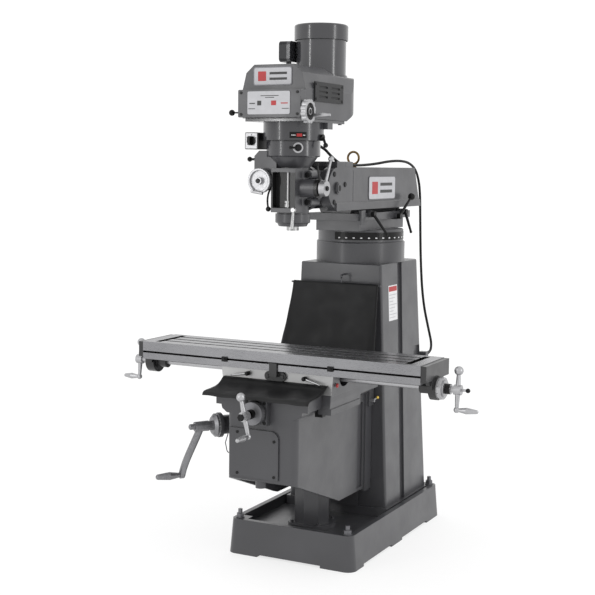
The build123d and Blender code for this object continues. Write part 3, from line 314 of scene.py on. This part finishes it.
# ---- CAD nodes ----
finishes = {
    grey: ["base_casting", "column_casting", "column_rear_door",
           "turret_casting", "ram_casting", "adapter_casting", "screw_pedestal",
           "elevating_bracket", "cross_feed_bracket"],
    gear_grey: ["gear_housing"],
    knee_paint: ["knee_casting"],
    head_paint_and_recess_shade: ["head_casting"],
    vented_paint: ["belt_housing"],
    panel_paint: ["speed_panel"],
    cover_paint: ["knee_front_cover"],
    saddle_paint: ["saddle_casting"],
    motor_grey: ["motor_body"],
    cowl_grey: ["fan_cowl"],
    dark_grey: ["table_end_brackets", "drum_switch", "table_stop_bracket"],
    table_steel_and_slot_shade: ["table_slab"],
    turned_steel: ["quill", "spindle", "depth_stop_nuts", "elevating_screw",
                   "quill_lock_lever"],
    dull_steel: ["levelling_bolts", "motor_rotor", "spindle_pulley"],
    pin_paint: ["nod_pin"],
    cast_iron: ["elevating_crank"],
    dial_steel: ["cross_feed_screw"],
    silver: ["table_screw", "quill_feed_lever", "feed_handwheel",
             "speed_handwheel", "knee_lock_lever"],
    lock_steel: ["table_lock_lever_left", "table_lock_lever_right"],
    black_gloss: ["feed_reverse_lever", "feed_engage_lever", "back_gear_lever",
                  "brake_lever", "drum_switch_knob", "ram_feed_lever"],
    black_oxide: ["ram_clamp_lever_front", "ram_clamp_lever_rear", "range_lever",
                  "feed_trip_lever", "table_stop_dogs"],
    black_rubber: ["drive_belt", "rear_way_cover", "front_way_cover", "saddle_rear_cover"],
    cable_black: ["cable_head", "cable_front", "cable_ram", "cable_drop"],
    brass: ["eyebolt"],
}


def finish_nodes():
    for made, names in finishes.items():
        for name in names:
            mesh = nodes[name].data
            mesh.materials.clear()
            mesh.materials.append(made)


# ---- Mesh helpers ----
def mesh_object(name, points, faces, made, body=None, smooth=False):
    mesh = bpy.data.meshes.new(name)
    mesh.from_pydata([tuple(p) for p in points], [], faces)
    mesh.update()
    if smooth:
        mesh.shade_smooth()
    mesh.materials.append(made)
    shape = bpy.data.objects.new(name, mesh)
    bpy.context.scene.collection.objects.link(shape)
    if body:
        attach(shape, body)
    return shape


def box(name, low, high, made, body, bevel=0.0):
    """Box between two corners."""
    points = [(x, y, z) for x in (low[0], high[0]) for y in (low[1], high[1])
              for z in (low[2], high[2])]
    faces = [(0, 1, 3, 2), (4, 6, 7, 5), (0, 4, 5, 1), (2, 3, 7, 6), (0, 2, 6, 4),
             (1, 5, 7, 3)]
    shape = mesh_object(name, points, faces, made)
    if bevel:
        rounding = shape.modifiers.new("edges", "BEVEL")
        rounding.width = bevel
        rounding.segments = 2
    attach(shape, body)
    return shape


def turned(name, start, direction, profile, made, body, sides=48):
    """Surface of revolution from (distance, radius) pairs along direction."""
    turn = Vector((0, 0, 1)).rotation_difference(Vector(direction)).to_matrix()
    points, faces = [], []
    for along, radius in profile:
        for i in range(sides):
            angle = 2 * pi * i / sides
            spot = turn @ Vector((radius * cos(angle), radius * sin(angle), along))
            points.append(Vector(start) + spot)
    for row in range(len(profile) - 1):
        for i in range(sides):
            a, b = row * sides + i, row * sides + (i + 1) % sides
            faces.append((a, b, b + sides, a + sides))
    faces.append(tuple(reversed(range(sides))))
    faces.append(tuple(range(len(points) - sides, len(points))))
    return mesh_object(name, points, faces, made, body)


def hexagon(name, start, direction, across, height, made, body):
    """Hexagon head with a chamfered top."""
    r = across / 3**0.5
    profile = [(0, r), (height * 0.8, r), (height, r * 0.85)]
    return turned(name, start, direction, profile, made, body, sides=6)


def cap(name, start, direction, radius, height, made, body):
    """Short disc with a rounded rim."""
    profile = [(0, radius), (height * 0.6, radius), (height, radius * 0.8)]
    return turned(name, start, direction, profile, made, body)


def ball(name, start, direction, radius, made, body):
    """Ball with its two ends cut flat."""
    profile = [(radius * (1 - cos(a)), radius * sin(a))
               for a in (0.3, 0.6, 0.9, 1.2, 1.57, 1.9, 2.2, 2.5, 2.8)]
    return turned(name, start, direction, profile, made, body, 24)


def grid_object(name, point_at, across, down, made, thickness):
    """Sheet from a function of (u, v), both from 0 to 1, given an even thickness."""
    points = [point_at(i / across, j / down) for j in range(down + 1)
              for i in range(across + 1)]
    step = across + 1
    faces = [(j * step + i, j * step + i + 1, (j + 1) * step + i + 1, (j + 1) * step + i)
             for j in range(down) for i in range(across)]
    shape = mesh_object(name, points, faces, made, smooth=True)
    solid = shape.modifiers.new("thickness", "SOLIDIFY")
    solid.thickness = thickness
    solid.offset = 0
    return shape


def along(route, share):
    """Point on a smooth line through route, share from 0 to 1."""
    place = share * (len(route) - 1)
    i = min(int(place), len(route) - 2)
    t = place - i
    before, after = route[max(i - 1, 0)], route[min(i + 2, len(route) - 1)]
    a, b = route[i], route[i + 1]
    return tuple(
        0.5 * (2 * p1 + (p2 - p0) * t + (2 * p0 - 5 * p1 + 4 * p2 - p3) * t**2
               + (3 * p1 - p0 - 3 * p2 + p3) * t**3)
        for p0, p1, p2, p3 in zip(before, a, b, after))


# ---- Camera, floor and light ----
def set_camera():
    data = bpy.data.cameras.new("camera")
    data.lens = camera_lens
    data.sensor_width = sensor_width
    camera = bpy.data.objects.new("camera", data)
    bpy.context.scene.collection.objects.link(camera)
    turn = Euler((radians(90 - camera_down), 0, radians(camera_yaw)), "XYZ").to_matrix()
    roll = Matrix.Rotation(radians(camera_roll), 3, "Z")
    camera.matrix_world = Matrix.Translation(camera_place) @ (turn @ roll).to_4x4()
    bpy.context.scene.camera = camera


def strip_light(name, place, target, size, power):
    data = bpy.data.lights.new(name, "AREA")
    data.shape = "RECTANGLE"
    data.size, data.size_y = size
    data.energy = power
    lamp = bpy.data.objects.new(name, data)
    bpy.context.scene.collection.objects.link(lamp)
    lamp.location = place
    lamp.rotation_euler = (Vector(target) - Vector(place)).to_track_quat("-Z", "Y").to_euler()


def set_stage():
    """White surroundings, a white floor that glows so that shadows stay faint, two strips."""
    scene = bpy.context.scene
    scene.view_settings.view_transform = "Standard"
    world = bpy.data.worlds.new("world")
    scene.world = world
    world.use_nodes = True
    sky = world.node_tree.nodes["Background"]
    sky.inputs["Color"].default_value = (1, 1, 1, 1)
    sky.inputs["Strength"].default_value = sky_strength
    made, _, shader = material("floor", (floor_tone, floor_tone, floor_tone), 0.9)
    shader.inputs["Emission Color"].default_value = (1, 1, 1, 1)
    shader.inputs["Emission Strength"].default_value = floor_glow
    h = floor_half
    floor = mesh_object("floor", [(-h, -h, 0), (h, -h, 0), (h, h, 0), (-h, h, 0)],
                        [(0, 1, 2, 3)], made)
    strip_light("left_strip", (-1.9, -4.2, 2.1), (0, -0.3, light_target_z), (0.12, 2.8),
                left_strip_power)
    strip_light("right_strip", (4.2, -0.6, 2.2), (0, -0.2, light_target_z), (0.5, 2.8),
                right_strip_power)


# ---- Power cable: four runs in millimetres, each running across one joint ----
cable_route = {
    "cable_head": [(-158, -477.5, 1768), (-158, -411, 1772), (-108, -370, 1780),
                   (-44, -362, 1782), (-4, -337, 1766)],
    "cable_front": [(-4, -337, 1766), (42, -308.25, 1747.6), (48, -240, 1708),
                    (45, -180, 1689.5)],
    "cable_ram": [(45, -180, 1689.5), (42, -120, 1671), (50, -10, 1671),
                  (46, 100, 1672), (58, 215, 1679), (80, 320, 1692), (97, 420, 1695),
                  (104, 510, 1685), (107, 585, 1652), (109, 624, 1592), (112, 632, 1530),
                  (115, 630, 1468), (119, 625, 1402)],
    "cable_drop": [(119, 625, 1402), (123, 620, 1336), (131, 609, 1240), (140, 600, 1150),
                   (149, 596, 1064), (160, 600, 980), (174, 606, 912), (188, 606, 856),
                   (201, 596, 820), (210, 572, 792), (214, 539, 778), (214, 498, 778)],
}
cable_bodies = {"cable_head": ("head", "adapter"), "cable_front": ("adapter", "ram"),
                "cable_ram": ("ram", "turret"), "cable_drop": ("turret", "frame")}


def spline_path(route):
    """Points read from the NURBS spline that has the route's points as control points."""
    curve = bpy.data.curves.new("route", "CURVE")
    curve.dimensions = "3D"
    curve.resolution_u = 10
    spline = curve.splines.new("NURBS")
    spline.points.add(len(route) - 1)
    for knot, spot in zip(spline.points, route):
        knot.co = (*(value / 1000 for value in spot), 1)
    spline.order_u = 3
    spline.use_endpoint_u = True
    line = bpy.data.objects.new("route", curve)
    points = [v.co.copy() for v in bpy.data.meshes.new_from_object(line).vertices]
    bpy.data.objects.remove(line)
    return points


def tube(name, path, radii, made, body=None, sides=14):
    """Round tube along a path, with a radius for each point and closed ends."""
    across = (path[1] - path[0]).orthogonal().normalized()
    points, faces = [], []
    for i, spot in enumerate(path):
        ahead = (path[min(i + 1, len(path) - 1)] - path[max(i - 1, 0)]).normalized()
        across = (across - ahead * across.dot(ahead)).normalized()
        other = ahead.cross(across)
        for k in range(sides):
            angle = 2 * pi * k / sides
            points.append(spot + (across * cos(angle) + other * sin(angle)) * radii[i])
    for row in range(len(path) - 1):
        for k in range(sides):
            a, b = row * sides + k, row * sides + (k + 1) % sides
            faces.append((a, b, b + sides, a + sides))
    faces.append(tuple(reversed(range(sides))))
    faces.append(tuple(range(len(points) - sides, len(points))))
    return mesh_object(name, points, faces, made, body, smooth=True)


def strain_relief(name, path, body, length=0.036):
    """Ribbed, tapered sleeve over the first stretch of a cable."""
    steps, wall, taper, rib_depth = 18, 0.0045, 0.0035, 0.0008
    reach = [0.0]
    for p, q in zip(path, path[1:]):
        reach.append(reach[-1] + (q - p).length)
    spine, radii = [], []
    for i in range(steps + 1):
        here = length * i / steps
        k = max(j for j, far in enumerate(reach) if far <= here)
        spine.append(path[k].lerp(path[k + 1], (here - reach[k]) / (reach[k + 1] - reach[k])))
        groove = rib_depth if i % 3 else 0
        radii.append(cable_diameter / 2 + wall - taper * i / steps - groove)
    return tube(name, spine, radii, black_rubber, body)


def lay_cable():
    """The cable's four runs, with a sleeve where it leaves the switch and the column."""
    for name, route in cable_route.items():
        path = spline_path(route)
        shape = tube(name + "_cord", path, [cable_diameter / 2] * len(path), cable_black)
        near, far = cable_bodies[name]
        extras = []
        if name == "cable_head":
            extras = [strain_relief("switch_relief", path, near)]
        if name == "cable_drop":
            extras = [strain_relief("gland_relief", list(reversed(path)), far)]
        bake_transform(shape)
        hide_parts(name)


# ---- Rubber covers ----
def declare_sheet(node):
    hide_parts(node)


def hang_rear_cover():
    """Sheet wrapped over a rod below the turret, sloping out over the knee."""
    line = [(-0.07, 1.139), (-0.071, 1.149), (-0.0765, 1.1535), (-0.0815, 1.147),
            (-0.086, 1.12), (-0.098, 1.07), (-0.124, 0.98), (-0.15, 0.9), (-0.174, 0.83),
            (-0.186, 0.785)]
    rod_z, fall = 1.147, 0.362
    top_half, flare = 0.207, 0.033

    def spot(u, v):
        y, z = along(line, v)
        side = 2 * u - 1
        drop = max(0, (rod_z - z) / fall)
        half = top_half + flare * drop**1.5
        sag = 0.008 * (1 - side**2) * drop
        curl = 0.02 * max(0, (abs(side) - 0.82) / 0.18)**2 * max(0, drop - 0.3)
        fold = 0.0035 * sin(9 * side + 2.2 * drop) * drop * (1 - abs(side))
        crease = 0.0018 * sin(21 * drop + 3 * side) * drop
        return (half * side, y - sag + curl + fold + crease, z + 0.012 * side**2 * drop)

    cover = grid_object("rear_cover", spot, 48, 60, vinyl, vinyl_thickness)
    declare_sheet("rear_way_cover")
    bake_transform(cover)


def hang_front_apron():
    """Sheet from the saddle over the knee's front, with its edge turned down."""
    line = [(-0.6275, 0.795), (-0.642, 0.79), (-0.662, 0.776), (-0.692, 0.765),
            (-0.735, 0.7605), (-0.776, 0.7585), (-0.793, 0.755), (-0.8, 0.747),
            (-0.8005, 0.743)]
    left, width = -0.243, 0.478

    def spot(u, v):
        y, z = along(line, v)
        ripple = 0.0012 * sin(26 * u) * min(1, 3 * v)
        return (left + width * u, y, z + ripple)

    apron = grid_object("front_apron", spot, 40, 40, black_rubber, rubber_thickness)
    declare_sheet("front_way_cover")
    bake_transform(apron)


def hang_saddle_cover():
    """Sheet behind the saddle, up to the hanging cover."""
    line = [(-0.3295, 0.808), (-0.296, 0.794), (-0.256, 0.787), (-0.216, 0.784),
            (-0.204, 0.787)]
    left, width = -0.214, 0.428

    def spot(u, v):
        y, z = along(line, v)
        return (left + width * u, y, z + 0.002 * sin(3 * pi * u) * v)

    cover = grid_object("saddle_cover", spot, 20, 20, black_rubber, rubber_thickness)
    declare_sheet("saddle_rear_cover")
    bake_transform(cover)


# ---- Small fittings ----
def band(name, centre, radius, z, span, made, body, lift=0.0012):
    """Thin curved plate on an upright cylinder, between two plan angles in degrees."""
    steps = 40
    points = []
    for r in (radius - 0.0006, radius + lift):
        for height in z:
            for i in range(steps + 1):
                angle = radians(span[0] + (span[1] - span[0]) * i / steps)
                points.append((centre[0] + r * cos(angle), centre[1] + r * sin(angle), height))
    row = steps + 1
    faces = []
    for i in range(steps):
        a, b, c, d = i, row + i, 2 * row + i, 3 * row + i
        faces += [(a, b, b + 1, a + 1), (c, c + 1, d + 1, d), (a, a + 1, c + 1, c),
                  (b, d, d + 1, b + 1)]
    faces += [(0, 2 * row, 3 * row, row),
              (steps, row + steps, 3 * row + steps, 2 * row + steps)]
    return mesh_object(name, points, faces, made, body)


def degree_ring():
    """Black graduated band on the swivel, with a white mark each 10 degrees."""
    centre = (0, turret_y)
    band("degree_band", centre, ring_radius, ring_z, (-102, 20), black_gloss, "turret")
    for i, angle in enumerate(range(-95, 20, 10)):
        band(f"degree_tick_{i}", centre, ring_radius + 0.001,
             (ring_z[0] + 0.007, ring_z[0] + 0.012), (angle - 1.3, angle + 1.3),
             white_print, "turret", 0.0006)


def gear_plates():
    """Index plates on the gear housing's front right."""
    centre = (0, spindle_y)
    face = gear_radius + 0.0011
    band("range_plate", centre, gear_radius, (1.776, 1.8), (-70, -38), black_gloss, "head")
    band("range_mark", centre, face, (1.782, 1.794), (-57, -47), red_print, "head", 0.0006)
    for i, span in enumerate(((-67, -59), (-45, -41))):
        band(f"range_rule_{i}", centre, face, (1.786, 1.789), span, white_print, "head",
             0.0006)
    out = Vector((0.6, -0.8, 0))
    dial_centre = Vector((0, spindle_y, 1.738)) + out * 0.1098
    cap("lever_dial", dial_centre, out, 0.021, 0.0016, silver, "head")


def head_fittings():
    """Washers and hexagon nuts on the four clamp bosses."""
    boss_y, washer = -0.5, 0.003
    for i, (sx, sz) in enumerate(corner_signs):
        x, z = sx * 0.074, nod_z + sz * 0.056
        turned(f"clamp_washer_{i}", (x, boss_y, z), to_front, [(0, 0.014), (washer, 0.014)],
               dull_steel, "head")
        hexagon(f"clamp_nut_{i}", (x, boss_y - washer, z), to_front, 0.02, 0.012,
                black_oxide, "head")


def switch_plate():
    """Silver face plate behind the drum switch's knob, with three plain marks."""
    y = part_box("drum_switch")[0][1]
    knob_x, knob_z, mark_radius = -0.158, 1.766, 0.024
    box("switch_plate", (-0.186, y - 0.0018, 1.734), (-0.132, y - 0.0001, 1.797), silver,
        "head", 0.0006)
    for i, turn in enumerate((-60, 0, 60)):
        angle = radians(90 + turn)
        x, z = knob_x + mark_radius * cos(angle), knob_z + mark_radius * sin(angle)
        box(f"switch_mark_{i}", (x - 0.0015, y - 0.0024, z - 0.003),
            (x + 0.0015, y - 0.0017, z + 0.003), black_print, "head")


def graduations(name, start, axis, radius, width, count, body, made):
    """Ticks round a dial, along its axis, with each fifth one longer."""
    turn = Vector((0, 0, 1)).rotation_difference(Vector(axis)).to_matrix()
    points, faces = [], []
    for i in range(count):
        middle = 2 * pi * i / count
        far = width if i % 5 == 0 else 0.55 * width
        half = 0.0007 / radius
        base = len(points)
        for r in (radius - 0.0005, radius + 0.0004):
            for d, angle in ((0, middle - half), (0, middle + half), (far, middle + half),
                             (far, middle - half)):
                points.append(Vector(start) + turn @ Vector((r * cos(angle), r * sin(angle), d)))
        for face in ((3, 2, 1, 0), (4, 5, 6, 7), (0, 1, 5, 4), (1, 2, 6, 5), (2, 3, 7, 6),
                     (3, 0, 4, 7)):
            faces.append(tuple(base + k for k in face))
    return mesh_object(name, points, faces, made, body)


def dial_marks():
    """Fifty graduations on each of the three feed dials."""
    divisions = 50
    heading = Vector((-284, -354, 0)).normalized()
    crank = Vector((-0.284, -0.634, 0.584))
    graduations("table_dial_marks", (0.6665, table_y, screw_z), to_right, 0.0448, 0.007,
                divisions, "table_screw", black_print)
    graduations("cross_dial_marks", (cross_screw_x, -0.786, cross_screw_z), to_front, 0.0488,
                0.007, divisions, "cross_feed_screw", black_print)
    graduations("elevating_dial_marks", crank - heading * 0.011, heading, 0.0489, 0.008,
                divisions, "elevating_crank", white_print)


def hub_caps():
    """Dark centres, nuts and knobs of the wheels, cranks and lock levers."""
    cap("speed_wheel_well", (0.1661, speed_wheel_y, speed_wheel_z), to_right, 0.0325, 0.001,
        black_gloss, "speed_handwheel")
    cap("speed_wheel_cap", (0.174, speed_wheel_y, speed_wheel_z), to_right, 0.009, 0.002,
        black_gloss, "speed_handwheel")
    cap("feed_wheel_cap", (-0.099, -0.6134, 1.604), to_front, 0.01, 0.003, black_gloss,
        "feed_handwheel")
    hexagon("quill_hub_nut", (0.172, -0.532, 1.577), to_right, 0.0175, 0.0065, black_oxide,
            "quill_feed_lever")
    hexagon("cross_crank_nut", (cross_screw_x, -0.889, cross_screw_z), to_front, 0.026, 0.009,
            black_oxide, "cross_feed_screw")
    turned("table_crank_collar", (0.6915, table_y, screw_z), to_right,
           [(0, 0.0205), (0.0218, 0.0205)], black_oxide, "table_screw")
    ball("table_crank_knob", (0.7727, table_y, screw_z), to_right, 0.0094, black_gloss,
         "table_screw")
    for x, lever in ((-0.128, "table_lock_lever_left"), (0.133, "table_lock_lever_right")):
        hexagon(f"{lever}_nut", (x, -0.6432, 0.817), to_front, 0.0125, 0.0068, black_oxide,
                lever)


def bracket_bolts():
    """Dark screws of the cross-feed bearing plate and the ram's fork, and the pin's ring."""
    pitch = 0.04
    for i, (sx, sz) in enumerate(corner_signs):
        spot = (cross_screw_x + sx * pitch, -0.7735, cross_screw_z + sz * pitch)
        cap(f"bracket_bolt_{i}", spot, to_front, 0.0075, 0.003, black_oxide, "knee")
    fork_bolts = ((nod_y - 0.029, nod_z + 0.058), (nod_y - 0.029, nod_z - 0.058), (-0.25, 1.59))
    for i, (y, z) in enumerate(fork_bolts):
        cap(f"fork_bolt_{i}", (ram_flank, y, z), to_right, 0.0108, 0.0045, black_oxide, "ram")
    cap("pin_ring", (0.1321, nod_y, nod_z), to_right, 0.0125, 0.0006, black_oxide, "ram")


def fork_pads():
    """Raised pads behind the ram's fork, with a channel between them for the cable."""
    for side, near, far in (("left", -0.1199, 0.03), ("right", 0.06, 0.1199)):
        box(f"fork_pad_{side}", (near, -0.2462, 1.66), (far, -0.168, 1.686), grey, "ram",
            0.004)


def oil_fittings():
    """Red sight and keeper block on the saddle, brass lever tip, eyebolt's nut."""
    turned("oil_sight", (0.2565, -0.59, 0.795), to_right,
           [(0, 0.009), (0.004, 0.009), (0.006, 0.006)], red_print, "saddle", 24)
    ball("knee_lock_tip", (0.202, -0.0614, 0.6535), to_rear, 0.0074, yellow_brass,
         "knee_lock_lever")
    turned("eyebolt_nut", (0, 0.092, 1.6642), upward, [(0, 0.0155), (0.006, 0.0155)],
           yellow_brass, "ram", 6)
    box("saddle_keeper", (0.17, -0.612, 0.662), (0.204, -0.58, 0.692), black_oxide, "saddle",
        0.002)


# ---- Plates and labels, with no lettering ----
def plate(name, centre, axes, span, rise, lift, corner, made, body):
    """Thin plate with rounded corners; axes are across, up and out."""
    corner_steps = 4
    across, up, out = (Vector(axis) for axis in axes)
    middles = [(span[1] - corner, rise[1] - corner), (span[0] + corner, rise[1] - corner),
               (span[0] + corner, rise[0] + corner), (span[1] - corner, rise[0] + corner)]
    points = []
    for depth in (0, lift):
        for quarter, (u, v) in enumerate(middles):
            for k in range(corner_steps + 1):
                angle = (quarter + k / corner_steps) * pi / 2
                points.append(Vector(centre) + across * (u + corner * cos(angle))
                              + up * (v + corner * sin(angle)) + out * depth)
    count = len(points) // 2
    faces = [tuple(reversed(range(count))), tuple(range(count, 2 * count))]
    for i in range(count):
        j = (i + 1) % count
        faces.append((i, j, j + count, i + count))
    return mesh_object(name, points, faces, made, body)


def badge(name, centre, axes, width, height, body):
    """Rimmed light plate with a coloured block beside two plain rules."""
    rim, mark_lift = 0.004, 0.0028
    w, h = width / 2, height / 2
    plate(name + "_edge", centre, axes, (-w, w), (-h, h), 0.0018, 0.26 * h, dull_steel, body)
    plate(name + "_face", centre, axes, (-w + rim, w - rim), (-h + rim, h - rim), 0.0024,
          0.2 * h, label_print, body)
    plate(name + "_block", centre, axes, (-0.76 * w, -0.34 * w), (-0.52 * h, 0.52 * h),
          mark_lift, 0.001, red_print, body)
    for i, level in enumerate((-0.3, 0.3)):
        plate(f"{name}_rule_{i}", centre, axes, (-0.16 * w, 0.74 * w),
              ((level - 0.13) * h, (level + 0.13) * h), mark_lift, 0.001, black_print, body)


def speed_label():
    """Plate on the speed panel, with blocks and rules only."""
    centre = (0.002, panel_front - 0.0002, 1.91)
    plate("speed_label", centre, front_axes, (-0.094, 0.094), (-0.0445, 0.0445), 0.002, 0.006,
          label_print, "head")
    marks = [((-0.035, 0.045), (0.026, 0.0285), black_print),
             ((-0.015, 0.025), (0.019, 0.0215), black_print),
             ((-0.085, -0.06), (-0.004, 0.0), black_print),
             ((-0.05, -0.032), (-0.01, 0.008), black_print),
             ((0.012, 0.034), (-0.01, 0.008), red_print),
             ((0.055, 0.085), (-0.004, 0.0), red_print),
             ((-0.09, -0.06), (-0.024, -0.0215), black_print),
             ((0.06, 0.09), (-0.024, -0.0215), black_print)]
    for i, (span, rise, made) in enumerate(marks):
        plate(f"speed_mark_{i}", centre, front_axes, span, rise, 0.0026, 0.0005, made, "head")


def column_label():
    """Notice on the column's right flank: ruled paper with a coloured head."""
    def flank(y, z, lift):
        share = (z - column_foot[1]) / column_flank_height
        return (column_foot[0] - column_taper * share + lift, y, z)

    def patch(name, y, z, lift, made):
        corners = [flank(y[0], z[0], lift), flank(y[1], z[0], lift),
                   flank(y[1], z[1], lift), flank(y[0], z[1], lift)]
        mesh_object(name, corners, [(0, 1, 2, 3)], made, "frame")

    patch("notice", (0.047, 0.146), (0.981, 1.139), 0.0006, white_print)
    patch("notice_head", (0.052, 0.141), (1.112, 1.134), 0.0012, red_print)
    for i in range(8):
        z = 1.098 - 0.0145 * i
        patch(f"notice_rule_{i}", (0.054, 0.139 - 0.02 * (i % 3)), (z - 0.003, z), 0.0012,
              label_print)


def main():
    set_camera()
    set_stage()
    finish_nodes()
    lay_cable()
    hang_rear_cover()
    hang_front_apron()
    hang_saddle_cover()
    badge("head_badge", (-0.004, belt_front - 0.0004, 2.016), front_axes, 0.172, 0.072, "head")
    badge("ram_badge", (ram_flank + 0.001, 0.143, 1.572), flank_axes, 0.3, 0.105, "ram")
    speed_label()
    column_label()
    degree_ring()
    gear_plates()
    head_fittings()
    switch_plate()
    dial_marks()
    hub_caps()
    bracket_bolts()
    fork_pads()
    oil_fittings()


main()
